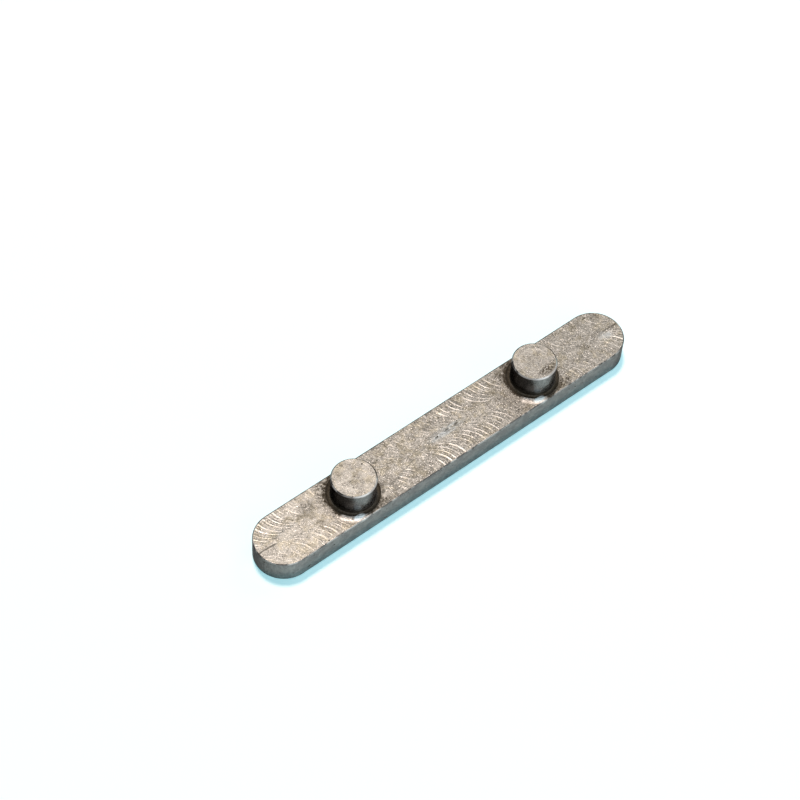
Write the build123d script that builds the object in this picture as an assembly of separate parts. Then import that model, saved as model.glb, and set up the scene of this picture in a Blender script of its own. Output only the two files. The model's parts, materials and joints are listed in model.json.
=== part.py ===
"""Two-peg parallel key: a round-ended flat key with two locating pegs, machined from one piece of key bar.

The back face lies on z = 0 with its centre at the origin, the length runs along X and the pegs point up.
"""

import os

from build123d import *

# Driving dimensions, in millimetres.
key_length = 60.0  # overall, over the two round ends
key_width = 8.0  # across the two driving flats; the ends are half rounds of this width
key_thickness = 3.5  # back face to shoulder face
key_edge_round = 0.18  # radius that tumbling leaves on the outline's edges

peg_diameter = 6.0
peg_height = 3.5  # above the shoulder face
peg_spacing = 30.0  # centre to centre, along the length
peg_edge_chamfer = 0.18  # round the top of each peg

relief_width = 0.55  # ring that the cutter leaves round the foot of each peg
relief_depth = 0.18  # below the shoulder face, and the radius of the cutter's corner


def key_bar():
    """The flat round-ended bar with its tumbled edges."""
    bar = extrude(SlotOverall(key_length, key_width), key_thickness)
    outline = bar.edges().group_by(Axis.Z)[0] + bar.edges().group_by(Axis.Z)[-1]
    return fillet(outline, key_edge_round)


def peg():
    """One peg, standing on the shoulder face, with its top edge chamfered."""
    column = extrude(Circle(peg_diameter / 2), peg_height)
    column = chamfer(column.edges().group_by(Axis.Z)[-1], peg_edge_chamfer)
    return Pos(0, 0, key_thickness) * column


def relief_cutter():
    """The ring cut away round a peg's foot: a rounded corner at the peg, then a dish up to the shoulder face."""
    peg_wall = peg_diameter / 2
    corner_end = peg_wall + relief_depth
    floor_z = key_thickness - relief_depth
    outer = (peg_wall + relief_width, key_thickness)
    corner = CenterArc((corner_end, key_thickness), relief_depth, 180, 90)
    dish = TangentArc((corner_end, floor_z), outer, tangent=(1, 0))
    lid = Line(outer, (peg_wall, key_thickness))
    return revolve(Plane.XZ * make_face([corner, dish, lid]), Axis.Z)


def two_peg_key():
    """The whole key, as one solid."""
    key = key_bar()
    for side in (-1, 1):
        place = Pos(side * peg_spacing / 2, 0, 0)
        key = key + place * peg() - place * relief_cutter()
    return key


os.makedirs("parts", exist_ok=True)
export_step(two_peg_key(), "parts/two_peg_key.step")
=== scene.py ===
import json
import math

import bpy
from mathutils import Matrix, Vector


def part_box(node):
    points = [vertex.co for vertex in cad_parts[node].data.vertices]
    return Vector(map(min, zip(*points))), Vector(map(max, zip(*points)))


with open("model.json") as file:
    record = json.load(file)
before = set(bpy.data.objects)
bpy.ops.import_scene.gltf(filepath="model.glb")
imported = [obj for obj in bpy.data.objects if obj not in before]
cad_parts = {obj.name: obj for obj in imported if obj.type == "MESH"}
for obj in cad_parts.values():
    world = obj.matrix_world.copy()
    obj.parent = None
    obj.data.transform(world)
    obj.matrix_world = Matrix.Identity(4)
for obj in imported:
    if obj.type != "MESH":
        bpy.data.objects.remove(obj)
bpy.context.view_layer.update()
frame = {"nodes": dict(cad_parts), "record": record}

print("frame loaded:", len(frame["nodes"]), "node")

mm = 0.001
black = (0, 0, 0, 1)
white = (1, 1, 1, 1)

keyLow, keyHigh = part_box("two_peg_key")
keyCentre = Vector(((keyLow.x + keyHigh.x) / 2, (keyLow.y + keyHigh.y) / 2, keyLow.z))
mounts = {mount["name"]: mount for mount in frame["record"]["mounts"]}

# the key's own sizes in millimetres, for the marks that are measured on it
pegX = mounts["peg_right"]["pos_m"][0] / mm
pegRadius = mounts["peg_left"]["dims"]["r_mm"]
shoulder = mounts["shoulder_face"]["pos_m"][2] / mm
top = keyHigh.z / mm
halfWidth = keyHigh.y / mm
halfLength = keyHigh.x / mm

cameraSetup = {
    "azimuth": -42.28,  # degrees, 0 looks along +Y
    "elevation": 55.12,
    "roll": 4.31,
    "distance": 0.2944,
    "lens": 101.4,
    "sensor": 36.0,
    "nearest": 0.01,  # nothing closer than this shows
    "aimRight": -0.00561,  # where the lens points, from the key's centre
    "aimUp": 0.00632,
}


def addCamera(setup):
    azimuth, elevation, roll = (math.radians(setup[k]) for k in ("azimuth", "elevation", "roll"))
    level = Vector((math.cos(azimuth), math.sin(azimuth), 0))
    flatBack = Vector((math.sin(azimuth), -math.cos(azimuth), 0))
    back = math.cos(elevation) * flatBack + Vector((0, 0, math.sin(elevation)))
    right = math.cos(roll) * level + math.sin(roll) * back.cross(level)
    up = back.cross(right)
    aim = keyCentre + setup["aimRight"] * right + setup["aimUp"] * up
    data = bpy.data.cameras.new("camera")
    data.lens = setup["lens"]
    data.sensor_width = setup["sensor"]
    data.clip_start = setup["nearest"]
    camera = bpy.data.objects.new("camera", data)
    bpy.context.scene.collection.objects.link(camera)
    turn = Matrix((right, up, back)).transposed().to_4x4()
    camera.matrix_world = Matrix.Translation(aim + setup["distance"] * back) @ turn
    bpy.context.scene.camera = camera


addCamera(cameraSetup)
print("camera placed")


def newMaterial(name):
    material = bpy.data.materials.new(name)
    material.use_nodes = True
    material.node_tree.nodes.clear()
    return material


def feed(tree, value, socket):
    # a value is another node's output or a plain number or colour
    if isinstance(value, bpy.types.NodeSocket):
        tree.links.new(value, socket)
    else:
        socket.default_value = value


def calc(tree, operation, *values, clamp=False):
    node = tree.nodes.new("ShaderNodeMath")
    node.operation = operation
    node.use_clamp = clamp
    for value, socket in zip(values, node.inputs):
        feed(tree, value, socket)
    return node.outputs[0]


def chain(tree, operation, values):
    total = values[0]
    for value in values[1:]:
        total = calc(tree, operation, total, value)
    return total


def add(tree, *values):
    return chain(tree, "ADD", values)


def times(tree, *values):
    return chain(tree, "MULTIPLY", values)


def most(tree, *values):
    return chain(tree, "MAXIMUM", values)


def less(tree, value, taken, clamp=False):
    return calc(tree, "SUBTRACT", value, taken, clamp=clamp)


def size(tree, value):
    return calc(tree, "ABSOLUTE", value)


def length(tree, across, along):
    return calc(tree, "SQRT", add(tree, times(tree, across, across), times(tree, along, along)))


def ramp(tree, value, edges, ends, smooth=True):
    node = tree.nodes.new("ShaderNodeMapRange")
    node.interpolation_type = "SMOOTHSTEP" if smooth else "LINEAR"
    for setting, socket in zip((value, *edges, *ends), node.inputs):
        feed(tree, setting, socket)
    return node.outputs[0]


def rise(tree, value, edges):
    return ramp(tree, value, edges, (0.0, 1.0))


def fall(tree, value, edges):
    return ramp(tree, value, edges, (1.0, 0.0))


def blend(tree, first, second, share):
    # first where share is 0, second where it is 1
    return add(tree, times(tree, second, share), times(tree, first, less(tree, 1.0, share)))


def mixColour(tree, share, first, second, mode="MIX"):
    node = tree.nodes.new("ShaderNodeMix")
    node.data_type = "RGBA"
    node.blend_type = mode
    node.clamp_factor = True
    feed(tree, share, node.inputs["Factor"])
    feed(tree, first, node.inputs[6])  # the colour sockets of this node are 6 and 7
    feed(tree, second, node.inputs[7])
    return node.outputs[2]


def darken(tree, colour, share):
    return mixColour(tree, share, colour, black)


def combine(tree, x, y, z):
    node = tree.nodes.new("ShaderNodeCombineXYZ")
    for value, socket in zip((x, y, z), node.inputs):
        feed(tree, value, socket)
    return node.outputs[0]


def noise(tree, vector, pattern):
    node = tree.nodes.new("ShaderNodeTexNoise")
    feed(tree, vector, node.inputs["Vector"])
    feed(tree, pattern["scale"], node.inputs["Scale"])
    feed(tree, pattern["detail"], node.inputs["Detail"])
    feed(tree, pattern["roughness"], node.inputs["Roughness"])
    return node.outputs[0]


def patches(tree, vector, pattern):
    # the noise values of the span become the two ends
    return ramp(tree, noise(tree, vector, pattern), pattern["span"], pattern["ends"])


def oval(tree, x, y, centreX, centreY, reachX, reachY, core=0.0):
    across = calc(tree, "DIVIDE", less(tree, x, centreX), reachX)
    along = calc(tree, "DIVIDE", less(tree, y, centreY), reachY)
    return fall(tree, add(tree, times(tree, across, across), times(tree, along, along)), (core, 1.0))


def ovals(tree, x, y, spots):
    # the last number of each spot is its strength
    return most(tree, *(times(tree, oval(tree, x, y, *spot[:-1]), spot[-1]) for spot in spots))


# everything on the key is in millimetres, and a noise scale is per millimetre
keySteel = {
    "brightGrain": (0.306, 0.304, 0.284, 1),  # the high grains of the tumbled skin
    "dullGrain": (0.097, 0.096, 0.088, 1),
    "glint": (0.82, 0.80, 0.77, 1),  # rubbed edges, sparks and the cutter's lines, and the painted highlights on the peg rims and beside the pegs
    "freshCut": (0.72, 0.82, 0.86, 1),  # painted cool highlight beside the pegs' feet
    "oil": (0.058, 0.048, 0.034, 1),  # with swarf in it, and the colour of the painted shade round the pegs' feet and in the relief rings
    "brownTint": (0.97, 0.94, 0.85, 1),
    "film": (0.33, 0.37, 0.39, 1),  # thin and blue-grey
    "wall": (0.262, 0.248, 0.244, 1),  # drawn sides and peg walls
    "wallStreak": (0.44, 0.42, 0.40, 1),
    "wallStreakShare": 0.5,
    "edgeTint": (0.2, 0.2, 0.2, 1),  # what grazing light keeps
    "roughness": 0.50,
    "wallRoughness": 0.34,
    "grainRoughness": 0.30,  # how far the grain moves it
    "dirtRoughness": 0.30,
    "pegWallSmoother": 0.08,
    "rubbedSmoother": 0.14,
    "relief": 0.035,  # height of the marks, of which the next six are shares
    "grainHeight": (0.15, 1.0),  # everywhere, and added on flat faces
    "speckleHeight": (0.1, 0.4),
    "ridgeHeight": 0.65,
    "grooveDepth": 0.3,
    "pitDepth": 0.9,
    "passStep": 0.6,  # the far pass of the cutter stands this much higher
    "grainTone": 0.62,  # how much of the way from dull to bright each of these takes
    "speckleTone": 0.22,
    "cloudTone": (-0.32, 0.26),
    # painted light on the left end and the peg tops
    "cleanTone": 0.30,
    "ridgeTone": 0.75,
    "grooveTone": 0.5,
    "calmRight": (1.0, 0.5),  # share of the clouds on the left and the right half
    "cleanTops": (0.75, 0.25),  # painted light: brighter tops, on the left and the right peg
    "sparkGlint": 0.9,
    "ridgeGlint": 0.38,
    "cutterRadius": 3.7,  # of the end mill that faced the shoulder
    "cutterPath": 4.1,  # how far from the centre line its axis ran
    "cutterFeed": 0.82,  # between two arcs
    "feedDrift": 0.9,  # how uneven the feed is, in arcs
    "grooveCentre": 0.27,  # from an arc, as a share of the feed
    "elsewhereLess": (0.3, 0.6),  # what arcs outside their patches lose on shoulder and peg tops
    "topRings": 0.22,  # strength of the round marks on the peg tops
    "seamStrength": 0.5,  # the line where the two passes meet
    "seamBend": (-2.3, -0.05),  # its place across the bar, beside a peg and away from one
    "seamWander": 0.8,
    "pegWallShade": 0.72,  # most painted shade on a peg wall, away from its lit side
    "pegWallBright": (0.26, -0.97),  # direction of that side
    # painted shade on the walls at the left end
    "leftEndShade": 0.35,
    # painted shade on the edge rounds and chamfers
    "rimShade": 0.66,
    "rimRub": 0.30,
    # painted highlight on each peg rim's lit side
    "pegRimGlint": 0.5,
    "pitStrength": 0.7,
    "grimeThickness": (1.0, 0.45),  # left and right of each peg, with more painted shade on the left
    "grimeLumps": 0.45,  # how ragged its edge is
    "grimeCover": (0.80, 0.20),  # everywhere, and added by its lumps
    "ringGrime": 0.88,  # dirt and painted shade in the relief ring round each peg
    "crescentGlint": 0.7,
    "crescentCrumbs": (0.5, 1.0),
    # where the cutter's arcs show best on the shoulder: x, y, half length, half width, strength
    "arcPatches": [
        (-26.5, 1.8, 5.0, 3.4, 1.0),
        (-24.0, -2.2, 3.5, 2.2, 0.35),
        (-20.5, -2.0, 2.6, 2.4, 0.7),
        (-8.5, -0.6, 3.6, 3.0, 0.6),
        (-1.5, -2.6, 4.0, 2.4, 0.9),
        (5.0, -1.9, 5.6, 2.6, 0.7),
        (2.5, 2.2, 4.0, 2.2, 0.6),
        (8.0, 1.8, 3.6, 2.6, 0.75),
        (28.4, -2.2, 1.8, 2.2, 0.8),
        (23.0, 0.0, 4.5, 3.5, 0.25),
    ],
    # oil, residue and smudges on the shoulder, in the same order
    "smudges": [
        (0.4, 0.25, 3.4, 0.85, 0.40),
        (-20.9, 1.9, 1.0, 1.4, 0.55),
        (-17.3, 3.3, 1.9, 0.9, 0.85),
        (-18.6, 1.6, 1.0, 2.2, 0.55),
        (-13.2, -3.3, 2.0, 0.8, 0.8),
        (11.6, 2.2, 1.4, 1.7, 0.7),
        (13.5, 3.6, 1.8, 0.5, 0.7),
        (16.9, -3.1, 2.6, 1.0, 1.0),
        (28.4, 2.6, 1.3, 0.7, 0.5),
        (25.0, 2.9, 1.4, 0.8, 0.35),
    ],
    "pegTopSmudges": [(15.6, -2.0, 2.0, 0.8, 0.85)],
    "filmPatches": [(0.4, 0.2, 3.6, 0.9, 1.0), (27.3, -0.8, 1.3, 0.9, 0.7)],
    # single pits: x, y, half length, half width
    "pits": [
        (-1.2, 0.12, 0.34, 0.13),
        (0.6, 0.3, 0.50, 0.16),
        (2.2, 0.35, 0.42, 0.20),
        (0.9, 2.4, 0.16, 0.26),
        (3.4, 2.8, 0.16, 0.22),
        (-10.2, 2.0, 0.16, 0.16),
        (-9.6, 2.05, 0.12, 0.14),
        (26.8, 3.1, 0.45, 0.16),
        (11.4, 0.6, 0.16, 0.12),
    ],
    # painted highlights beside each peg, from its axis: x, y, half length, half width, full core
    "crescentSpot": (-2.3, -3.0, 2.2, 1.7, 0.4),
    "freshCutSpot": (-1.6, -3.3, 1.0, 0.5, 0.3),
    "patterns": {
        "grain": dict(scale=4.2, detail=3.0, roughness=0.62, span=(0.36, 0.66)),
        "speckle": dict(scale=9.0, detail=2.0, roughness=0.6, span=(0.38, 0.64), sparks=(0.60, 0.70)),
        "cloud": dict(scale=1.0, detail=4.0, roughness=0.65, span=(0.35, 0.65)),
        "streaks": dict(scale=1.0, detail=2.0, roughness=0.55, stretch=(0.8, 4.5)),
        "wallStreaks": dict(span=(0.42, 0.60)),
        "filmStreaks": dict(span=(0.42, 0.58), ends=(0.2, 0.8)),
        "crumbs": dict(scale=3.6, detail=3.0, roughness=0.7, span=(0.45, 0.55), ends=(0.10, 1.0)),
        "seamWander": dict(scale=0.25, detail=3.0, roughness=0.55),
        "seamParts": dict(scale=0.5, detail=2.0, roughness=0.55, span=(0.50, 0.60), ends=(0.0, 0.45)),
        "drift": dict(scale=1.0, detail=1.0, roughness=0.55, stretch=(0.8, 0.08, 3.0)),
        "eachArc": dict(
            scale=1.0,
            detail=1.0,
            roughness=0.55,
            stretch=(3.71, 0.35, 7.0),
            span=(0.25, 0.48),
            ends=(0.0, 1.0),
        ),
        "scattered": dict(scale=0.5, detail=3.0, roughness=0.55, span=(0.42, 0.60), ends=(0.10, 0.45)),
        "broken": dict(scale=0.9, detail=3.0, roughness=0.55, span=(0.38, 0.54), ends=(0.25, 1.0)),
        "rings": dict(
            scale=1.6, detail=2.0, roughness=0.55, stretch=(1.6, 0.25), span=(0.50, 0.62), ends=(0.0, 1.0)
        ),
        "brown": dict(scale=0.7, detail=4.0, roughness=0.7, span=(0.46, 0.64), ends=(0.0, 1.0)),
        "rubbed": dict(scale=0.7, detail=2.0, roughness=0.55, span=(0.44, 0.60), ends=(0.0, 1.0)),
        "lumps": dict(scale=2.4, detail=4.0, roughness=0.75, span=(0.36, 0.64), ends=(0.0, 1.0)),
        "specks": dict(scale=2.6, detail=1.0, roughness=0.3, span=(0.735, 0.79), ends=(0.0, 1.0)),
        "haze": dict(scale=0.35, detail=3.0, roughness=0.65, span=(0.58, 0.75), ends=(0.0, 0.35)),
    },
    # where one finish gives way to the next, counted from the face or axis that the code adds
    "bands": {
        "upperHalf": (-0.5, -0.3),
        "pegFoot": (0.02, 0.10),
        "shoulderFace": (0.02, 0.06),
        "pegTopFace": (-0.04, -0.01),
        "outlineRound": (0.06, 0.14),
        "bar": (0.05, 0.15),
        "pegTop": (-0.1, -0.05),
        "pegWall": (0.02, 0.08),
        "seamBend": (3.0, 13.0),
        "seamLine": (0.05, 0.16),
        "seamEnds": (26.9, 27.6),
        "farPass": (-0.05, 0.05),
        "arcLine": (0.03, 0.17),
        "arcGroove": (0.03, 0.11),
        "grazed": (0.1, 2.6),
        "ringsOuter": (1.0, 2.4),
        "calmRight": (2.0, 18.0),
        "cleanEnd": (-20.0, -14.5),
        "middle": (-1.0, 1.0),
        "wallAway": (0.45, 1.0),
        "rimTowards": (0.3, 0.95),
        "leftEnd": (-30.0, -26.5),
        "outlineRim": (0.10, 0.24),
        "upperRim": (-0.2, -0.08),
        "lowerRim": (0.08, 0.2),
        "pegRimHeight": (-0.2, -0.1),
        "pegRimRadius": (-0.2, -0.15),
        "grimeSides": (-1.2, 2.4),
        "grimeReach": (0.50, 0.78),
        "grimeHeight": (0.1, 0.9),
        "grimeStart": (-0.4, -0.2),
        "ringInner": (-0.05, 0.05),
        "ringOuter": (0.60, 0.68),
        "ringTop": (-0.004, -0.001),
        "crescentInner": (0.45, 0.6),
        "crescentOuter": (1.1, 1.6),
        "crescentCrumbs": (0.2, 0.7),
    },
}
patterns = keySteel["patterns"]


def band(name, start=0.0):
    low, high = keySteel["bands"][name]
    return start + low, start + high


def keyPlaces(tree):
    # where a point of the key lies, as sockets that the finishes below share
    coords = tree.nodes.new("ShaderNodeTexCoord")
    scaleUp = tree.nodes.new("ShaderNodeMapping")
    scaleUp.inputs["Scale"].default_value = (1 / mm,) * 3
    tree.links.new(coords.outputs["Object"], scaleUp.inputs["Vector"])
    place = scaleUp.outputs[0]
    parts = tree.nodes.new("ShaderNodeSeparateXYZ")
    tree.links.new(place, parts.inputs[0])
    x, y, z = parts.outputs

    pegDistance = length(tree, less(tree, size(tree, x), pegX), y)  # from the nearer peg's axis
    pastSpine = most(tree, less(tree, size(tree, x), halfLength - halfWidth), 0.0)
    inward = less(tree, halfWidth, length(tree, pastSpine, y))  # from the outline
    fromPeg = less(tree, x, times(tree, calc(tree, "SIGN", x), pegX))
    brightX, brightY = keySteel["pegWallBright"]
    towards = add(tree, times(tree, fromPeg, brightX), times(tree, y, brightY))

    # flat faces against walls and edge rounds
    upperHalf = rise(tree, z, band("upperHalf", shoulder))
    pastFoot = rise(tree, pegDistance, band("pegFoot", pegRadius))
    barFlat = most(tree, pastFoot, less(tree, 1.0, upperHalf))
    barFlat = times(tree, barFlat, fall(tree, z, band("shoulderFace", shoulder)))
    pegFlat = rise(tree, z, band("pegTopFace", top))
    flat = times(tree, rise(tree, inward, band("outlineRound")), most(tree, barFlat, pegFlat))
    wall = less(tree, 1.0, flat)
    onBar = fall(tree, z, band("bar", shoulder))
    return {
        "place": place,
        "x": x,
        "y": y,
        "z": z,
        "pegDistance": pegDistance,
        "fromPeg": fromPeg,
        "inward": inward,
        "facing": calc(tree, "DIVIDE", towards, pegDistance),  # 1 on a peg's bright side
        "upperHalf": upperHalf,
        "flat": flat,
        "wall": wall,
        "onBar": onBar,
        "onShoulder": times(tree, onBar, upperHalf),
        "onPegTop": times(tree, rise(tree, z, band("pegTop", top)), flat),
        "onPegWall": times(tree, rise(tree, z, band("pegWall", shoulder)), wall),
    }


def skinNoise(tree, at):
    for name in ("grain", "speckle"):
        at[name] = noise(tree, at["place"], patterns[name])
    at["crumbs"] = patches(tree, at["place"], patterns["crumbs"])
    stretchX, stretchY = patterns["streaks"]["stretch"]
    drawn = combine(tree, times(tree, at["x"], stretchX), times(tree, at["y"], stretchY), at["z"])
    at["streaks"] = noise(tree, drawn, patterns["streaks"])


def passSeam(tree, at):
    # the line where the cutter's two passes meet bends round the near side of the pegs
    bend = ramp(tree, at["pegDistance"], band("seamBend"), keySteel["seamBend"])
    wander = less(tree, noise(tree, at["place"], patterns["seamWander"]), 0.5)
    line = add(tree, bend, times(tree, wander, keySteel["seamWander"]))
    above = less(tree, at["y"], line)
    parts = patches(tree, at["place"], patterns["seamParts"])
    ends = rise(tree, size(tree, at["x"]), band("seamEnds"))
    near = fall(tree, size(tree, above), band("seamLine"))
    at["farPass"] = rise(tree, above, band("farPass"))
    at["seam"] = times(tree, near, most(tree, parts, ends), at["onShoulder"])


def cutterArcs(tree, at, side):
    # u is constant along one arc: the cutter's edge as its axis passed x = u on that side
    y = at["y"]
    offset = less(tree, y, side * keySteel["cutterPath"])
    left = less(tree, keySteel["cutterRadius"] ** 2, times(tree, offset, offset))
    reach = calc(tree, "SQRT", most(tree, left, 0.0))
    u = add(tree, at["x"], times(tree, reach, float(side)))
    stretchU, stretchY, apart = patterns["drift"]["stretch"]
    driftPlace = combine(tree, times(tree, u, stretchU), times(tree, y, stretchY), side * apart)
    drift = times(tree, noise(tree, driftPlace, patterns["drift"]), keySteel["feedDrift"])
    phase = add(tree, calc(tree, "DIVIDE", u, keySteel["cutterFeed"]), drift)
    part = size(tree, less(tree, calc(tree, "FRACT", phase), 0.5))
    line = fall(tree, part, band("arcLine"))
    groove = fall(tree, size(tree, less(tree, part, keySteel["grooveCentre"])), band("arcGroove"))
    # each arc has a strength of its own, and all fade where the cutter only grazed
    stretchArc, stretchY, apart = patterns["eachArc"]["stretch"]
    arcNumber = calc(tree, "FLOOR", phase)
    arcPlace = combine(tree, times(tree, arcNumber, stretchArc), times(tree, y, stretchY), side * apart)
    strength = patches(tree, arcPlace, patterns["eachArc"])
    strength = times(tree, strength, rise(tree, left, band("grazed")))
    return times(tree, line, strength), times(tree, groove, strength)


def cutterMarks(tree, at):
    place, x, y = at["place"], at["x"], at["y"]
    nearRidge, nearGroove = cutterArcs(tree, at, -1)
    farRidge, farGroove = cutterArcs(tree, at, 1)
    ridge = blend(tree, nearRidge, farRidge, at["farPass"])
    groove = blend(tree, nearGroove, farGroove, at["farPass"])

    placed = times(tree, ovals(tree, x, y, keySteel["arcPatches"]), at["onShoulder"])
    lessOnShoulder, lessOnTops = keySteel["elsewhereLess"]
    held = add(tree, times(tree, at["onShoulder"], lessOnShoulder), times(tree, at["onPegTop"], lessOnTops))
    scattered = times(tree, patches(tree, place, patterns["scattered"]), less(tree, 1.0, held))
    broken = patches(tree, place, patterns["broken"])
    shown = times(tree, most(tree, placed, scattered), broken, at["flat"])

    stretchOut, stretchY = patterns["rings"]["stretch"]
    outwards = times(tree, at["pegDistance"], stretchOut)
    ringPlace = combine(tree, outwards, times(tree, y, stretchY), calc(tree, "SIGN", x))
    outer = ramp(tree, at["pegDistance"], band("ringsOuter"), (0.0, keySteel["topRings"]))
    rings = times(tree, patches(tree, ringPlace, patterns["rings"]), at["onPegTop"], broken, outer)
    at["ridge"] = most(tree, times(tree, ridge, shown), rings)
    at["groove"] = times(tree, groove, shown)


def grainTone(tree, at):
    # 0 is dull steel and 1 is bright
    x = at["x"]
    grain = ramp(tree, at["grain"], patterns["grain"]["span"], (0.0, keySteel["grainTone"]), smooth=False)
    fineEnds = (0.0, keySteel["speckleTone"])
    speckle = ramp(tree, at["speckle"], patterns["speckle"]["span"], fineEnds, smooth=False)
    cloud = noise(tree, at["place"], patterns["cloud"])
    cloud = ramp(tree, cloud, patterns["cloud"]["span"], keySteel["cloudTone"], smooth=False)
    cloud = times(tree, cloud, ramp(tree, x, band("calmRight"), keySteel["calmRight"]))
    # painted light: the top faces lighter at the left end and on the peg tops
    cleanTops = times(tree, at["onPegTop"], ramp(tree, x, band("middle"), keySteel["cleanTops"]))
    paintedLight = most(tree, fall(tree, x, band("cleanEnd")), cleanTops)
    tone = add(tree, grain, speckle, cloud, times(tree, paintedLight, keySteel["cleanTone"]))
    tone = add(tree, tone, times(tree, at["ridge"], keySteel["ridgeTone"]))
    return less(tree, tone, times(tree, at["groove"], keySteel["grooveTone"]), clamp=True)


def tumbledSkin(tree, at):
    skin = mixColour(tree, grainTone(tree, at), keySteel["dullGrain"], keySteel["brightGrain"])
    sparks = ramp(tree, at["speckle"], patterns["speckle"]["sparks"], (0.0, keySteel["sparkGlint"]))
    bright = most(tree, sparks, times(tree, at["ridge"], keySteel["ridgeGlint"]))
    skin = mixColour(tree, bright, skin, keySteel["glint"])
    brown = patches(tree, at["place"], patterns["brown"])
    skin = mixColour(tree, brown, skin, keySteel["brownTint"], mode="MULTIPLY")
    streaks = ramp(tree, at["streaks"], patterns["filmStreaks"]["span"], patterns["filmStreaks"]["ends"])
    film = times(tree, ovals(tree, at["x"], at["y"], keySteel["filmPatches"]), at["onShoulder"], streaks)
    return mixColour(tree, film, skin, keySteel["film"])


def drawnWall(tree, at):
    streak = times(tree, add(tree, at["streaks"], at["grain"]), 0.5)
    streak = rise(tree, streak, patterns["wallStreaks"]["span"])
    streak = times(tree, streak, keySteel["wallStreakShare"])
    return mixColour(tree, streak, keySteel["wall"], keySteel["wallStreak"])


def shadeWalls(tree, at, colour):
    # painted shade: peg walls darker away from their lit side, and the walls at the left end darker
    away = ramp(tree, at["facing"], band("wallAway"), (keySteel["pegWallShade"], 0.0), smooth=False)
    colour = darken(tree, colour, times(tree, at["onPegWall"], away))
    leftEnd = ramp(tree, at["x"], band("leftEnd"), (keySteel["leftEndShade"], 0.0))
    return darken(tree, colour, times(tree, at["wall"], leftEnd))


def shadeRubAndLightRims(tree, at, colour):
    # painted shade darkens the outline's edge rounds and the pegs' chamfers; they are rubbed bright in
    # places, and each peg's rim has a painted highlight on its lit side
    z = at["z"]
    heights = most(tree, rise(tree, z, band("upperRim", shoulder)), fall(tree, z, band("lowerRim")))
    barRim = times(tree, fall(tree, at["inward"], band("outlineRim")), heights, at["onBar"])
    nearPegWall = rise(tree, at["pegDistance"], band("pegRimRadius", pegRadius))
    pegRim = times(tree, rise(tree, z, band("pegRimHeight", top)), nearPegWall)
    worn = most(tree, barRim, pegRim)
    colour = darken(tree, colour, times(tree, worn, keySteel["rimShade"]))
    rubbed = times(tree, worn, patches(tree, at["place"], patterns["rubbed"]), keySteel["rimRub"])
    # painted highlight: each peg's rim lighter on its lit side
    lit = ramp(tree, at["facing"], band("rimTowards"), (0.0, keySteel["pegRimGlint"]))
    at["worn"] = worn
    return mixColour(tree, most(tree, rubbed, times(tree, pegRim, lit)), colour, keySteel["glint"])


def footDirtAndShade(tree, at):
    # dirt and painted shade, thicker on the left of each peg, ragged outwards, and creeping up the wall
    z = at["z"]
    sideways = add(tree, at["fromPeg"], times(tree, at["y"], 0.25))
    thickness = ramp(tree, sideways, band("grimeSides"), keySteel["grimeThickness"])
    lumps = patches(tree, at["place"], patterns["lumps"])
    ragged = less(tree, at["pegDistance"], times(tree, lumps, keySteel["grimeLumps"]))
    everywhere, onLumps = keySteel["grimeCover"]
    return times(
        tree,
        fall(tree, ragged, band("grimeReach", pegRadius)),
        fall(tree, z, band("grimeHeight", shoulder)),
        rise(tree, z, band("grimeStart", shoulder)),
        thickness,
        add(tree, everywhere, times(tree, lumps, onLumps)),
    )


def ringGrime(tree, at):
    # dirt and painted shade fill the relief ring round each peg, its outer wall too
    return times(
        tree,
        rise(tree, at["pegDistance"], band("ringInner", pegRadius)),
        fall(tree, at["pegDistance"], band("ringOuter", pegRadius)),
        fall(tree, at["z"], band("ringTop", shoulder)),
        at["upperHalf"],
        keySteel["ringGrime"],
    )


def keyDirtAndShade(tree, at):
    place, x, y, onShoulder = at["place"], at["x"], at["y"], at["onShoulder"]
    placedPits = most(tree, *(oval(tree, x, y, *pit) for pit in keySteel["pits"]))
    placedPits = times(tree, placedPits, onShoulder, keySteel["pitStrength"])
    at["pits"] = most(tree, patches(tree, place, patterns["specks"]), placedPits)
    smudges = times(tree, ovals(tree, x, y, keySteel["smudges"]), onShoulder, at["crumbs"])
    topSmudges = times(tree, ovals(tree, x, y, keySteel["pegTopSmudges"]), at["onPegTop"], at["crumbs"])
    haze = times(tree, patches(tree, place, patterns["haze"]), at["flat"])
    seam = times(tree, at["seam"], keySteel["seamStrength"])
    # dirt and painted shade at the pegs' feet and in the relief rings
    pegDirtAndShade = most(tree, footDirtAndShade(tree, at), ringGrime(tree, at))
    at["dirty"] = most(tree, pegDirtAndShade, smudges, at["pits"], haze, seam, topSmudges)


def paintedCrescentHighlights(tree, at, colour):
    # painted highlight: a bright crescent at the near left of each peg, just outside the relief ring, with a
    # cool core
    crescent = times(
        tree,
        rise(tree, at["pegDistance"], band("crescentInner", pegRadius)),
        fall(tree, at["pegDistance"], band("crescentOuter", pegRadius)),
        oval(tree, at["fromPeg"], at["y"], *keySteel["crescentSpot"]),
        ramp(tree, at["crumbs"], band("crescentCrumbs"), keySteel["crescentCrumbs"]),
        at["onShoulder"],
        keySteel["crescentGlint"],
    )
    colour = mixColour(tree, crescent, colour, keySteel["glint"])
    core = times(tree, oval(tree, at["fromPeg"], at["y"], *keySteel["freshCutSpot"]), at["onShoulder"])
    return mixColour(tree, core, colour, keySteel["freshCut"])


def keyRoughness(tree, at):
    rough = blend(tree, keySteel["wallRoughness"], keySteel["roughness"], at["flat"])
    rough = add(tree, rough, times(tree, less(tree, at["grain"], 0.5), keySteel["grainRoughness"]))
    rough = add(tree, rough, times(tree, at["dirty"], keySteel["dirtRoughness"]))
    rough = less(tree, rough, times(tree, at["onPegWall"], keySteel["pegWallSmoother"]))
    rubbed = times(tree, most(tree, at["ridge"], at["worn"]), keySteel["rubbedSmoother"])
    return less(tree, rough, rubbed, clamp=True)


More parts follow.
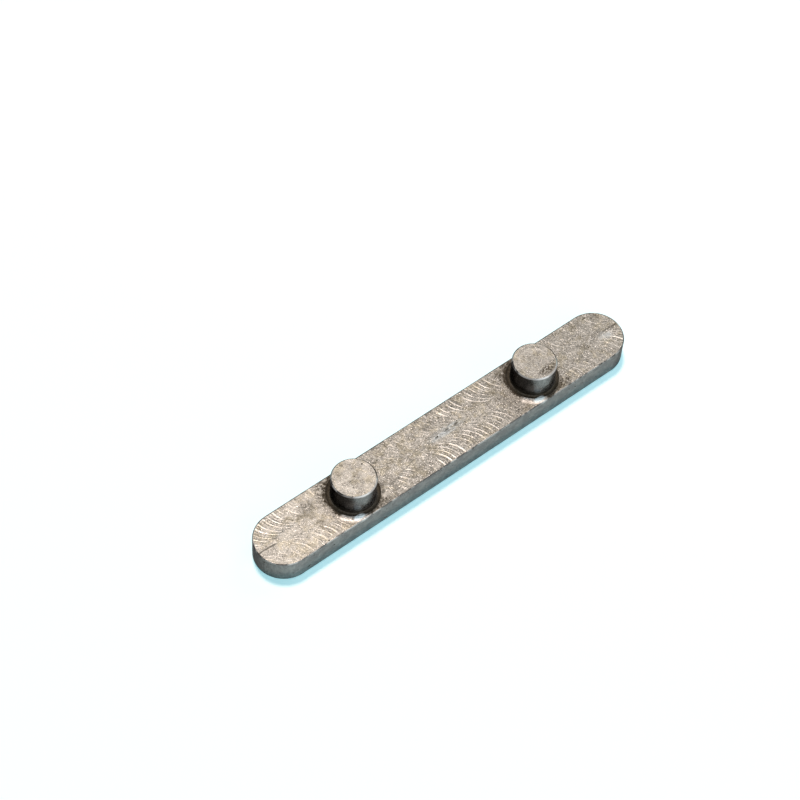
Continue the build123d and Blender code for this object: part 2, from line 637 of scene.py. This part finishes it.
def keyRelief(tree, at):
    height = times(tree, at["ridge"], keySteel["ridgeHeight"])
    for name in ("grain", "speckle"):
        everywhere, onFlats = keySteel[name + "Height"]
        share = add(tree, everywhere, times(tree, at["flat"], onFlats))
        height = add(tree, height, times(tree, less(tree, at[name], 0.5), share))
    height = less(tree, height, times(tree, at["groove"], keySteel["grooveDepth"]))
    height = less(tree, height, times(tree, at["pits"], keySteel["pitDepth"]))
    height = add(tree, height, times(tree, at["farPass"], at["flat"], at["onShoulder"], keySteel["passStep"]))
    bump = tree.nodes.new("ShaderNodeBump")
    bump.inputs["Strength"].default_value = 1.0
    bump.inputs["Distance"].default_value = keySteel["relief"] * mm
    tree.links.new(height, bump.inputs["Height"])
    return bump.outputs[0]


def bareSteel():
    material = newMaterial("bareSteel")
    tree = material.node_tree
    at = keyPlaces(tree)
    skinNoise(tree, at)
    passSeam(tree, at)
    cutterMarks(tree, at)
    keyDirtAndShade(tree, at)
    colour = mixColour(tree, at["flat"], drawnWall(tree, at), tumbledSkin(tree, at))
    colour = shadeWalls(tree, at, colour)
    colour = shadeRubAndLightRims(tree, at, colour)
    # dirt, and the painted shade round the pegs' feet and in the relief rings
    colour = mixColour(tree, at["dirty"], colour, keySteel["oil"])
    colour = paintedCrescentHighlights(tree, at, colour)
    shader = tree.nodes.new("ShaderNodeBsdfPrincipled")
    shader.inputs["Metallic"].default_value = 1.0
    shader.inputs["Specular Tint"].default_value = keySteel["edgeTint"]
    tree.links.new(colour, shader.inputs["Base Color"])
    tree.links.new(keyRoughness(tree, at), shader.inputs["Roughness"])
    tree.links.new(keyRelief(tree, at), shader.inputs["Normal"])
    output = tree.nodes.new("ShaderNodeOutputMaterial")
    tree.links.new(shader.outputs[0], output.inputs[0])
    return material


keyNode = frame["nodes"]["two_peg_key"]
keyNode.data.materials.clear()
keyNode.data.materials.append(bareSteel())
print("steel on the key")

studio = {
    "floorSize": 3.0,
    "floorDrop": 0.00001,  # keeps the floor just clear of the key's back
    "paper": (0.86, 0.87, 0.88, 1),
    "paperGlow": (0.235, 0.51, 0.57, 1),  # what the paper shows where the key shades it
    "skyLight": (0.80, 0.90, 1.0, 1),
    "skyStrength": 0.08,
}

# colour, watts, width, distance and direction from the key
lamps = {
    "sun": ((1.0, 0.81, 0.69), 18.0, 0.24, 1.6, (0.10, 0.26, 0.96)),
    "right": ((0.82, 0.95, 1.0), 0.6, 0.4, 0.8, (0.78, 0.10, 0.62)),
    "front": ((0.80, 0.93, 1.0), 2.2, 0.9, 0.8, (-0.05, -0.82, 0.50)),
}


def seenRays(tree):
    # 1 for what the lens, a shiny surface or a clear one sees, 0 for light on its way to matt surfaces
    path = tree.nodes.new("ShaderNodeLightPath")
    seen = calc(tree, "ADD", path.outputs["Is Camera Ray"], path.outputs["Is Glossy Ray"])
    return calc(tree, "ADD", seen, path.outputs["Is Transmission Ray"], clamp=True)


def addFloor():
    height = keyLow.z - studio["floorDrop"]
    bpy.ops.mesh.primitive_plane_add(size=studio["floorSize"], location=(0, 0, height))
    floor = bpy.context.object
    floor.name = "floor"
    material = newMaterial("floorPaper")
    tree = material.node_tree
    paper = tree.nodes.new("ShaderNodeBsdfDiffuse")
    paper.inputs["Color"].default_value = studio["paper"]
    glow = tree.nodes.new("ShaderNodeEmission")
    glow.inputs["Color"].default_value = studio["paperGlow"]
    tree.links.new(seenRays(tree), glow.inputs["Strength"])
    both = tree.nodes.new("ShaderNodeAddShader")
    tree.links.new(paper.outputs[0], both.inputs[0])
    tree.links.new(glow.outputs[0], both.inputs[1])
    output = tree.nodes.new("ShaderNodeOutputMaterial")
    tree.links.new(both.outputs[0], output.inputs[0])
    floor.data.materials.append(material)


def addLamp(name, colour, watts, width, distance, direction):
    data = bpy.data.lights.new(name, "AREA")
    data.color = colour
    data.energy = watts
    data.size = width
    lamp = bpy.data.objects.new(name, data)
    bpy.context.scene.collection.objects.link(lamp)
    away = Vector(direction).normalized()
    lamp.location = keyCentre + away * distance
    lamp.rotation_euler = away.to_track_quat("Z", "Y").to_euler()


def addWorld():
    # white where it is seen or reflected, a faint cool sky as light
    world = bpy.data.worlds.new("studio")
    bpy.context.scene.world = world
    world.use_nodes = True
    tree = world.node_tree
    tree.nodes.clear()
    sky = tree.nodes.new("ShaderNodeBackground")
    sky.inputs["Color"].default_value = studio["skyLight"]
    sky.inputs["Strength"].default_value = studio["skyStrength"]
    backdrop = tree.nodes.new("ShaderNodeBackground")
    backdrop.inputs["Color"].default_value = white
    mix = tree.nodes.new("ShaderNodeMixShader")
    output = tree.nodes.new("ShaderNodeOutputWorld")
    tree.links.new(seenRays(tree), mix.inputs[0])
    tree.links.new(sky.outputs[0], mix.inputs[1])
    tree.links.new(backdrop.outputs[0], mix.inputs[2])
    tree.links.new(mix.outputs[0], output.inputs[0])


addFloor()
for lampName, lampSettings in lamps.items():
    addLamp(lampName, *lampSettings)
addWorld()
bpy.context.scene.view_settings.view_transform = "Standard"
print("floor and lamps set")
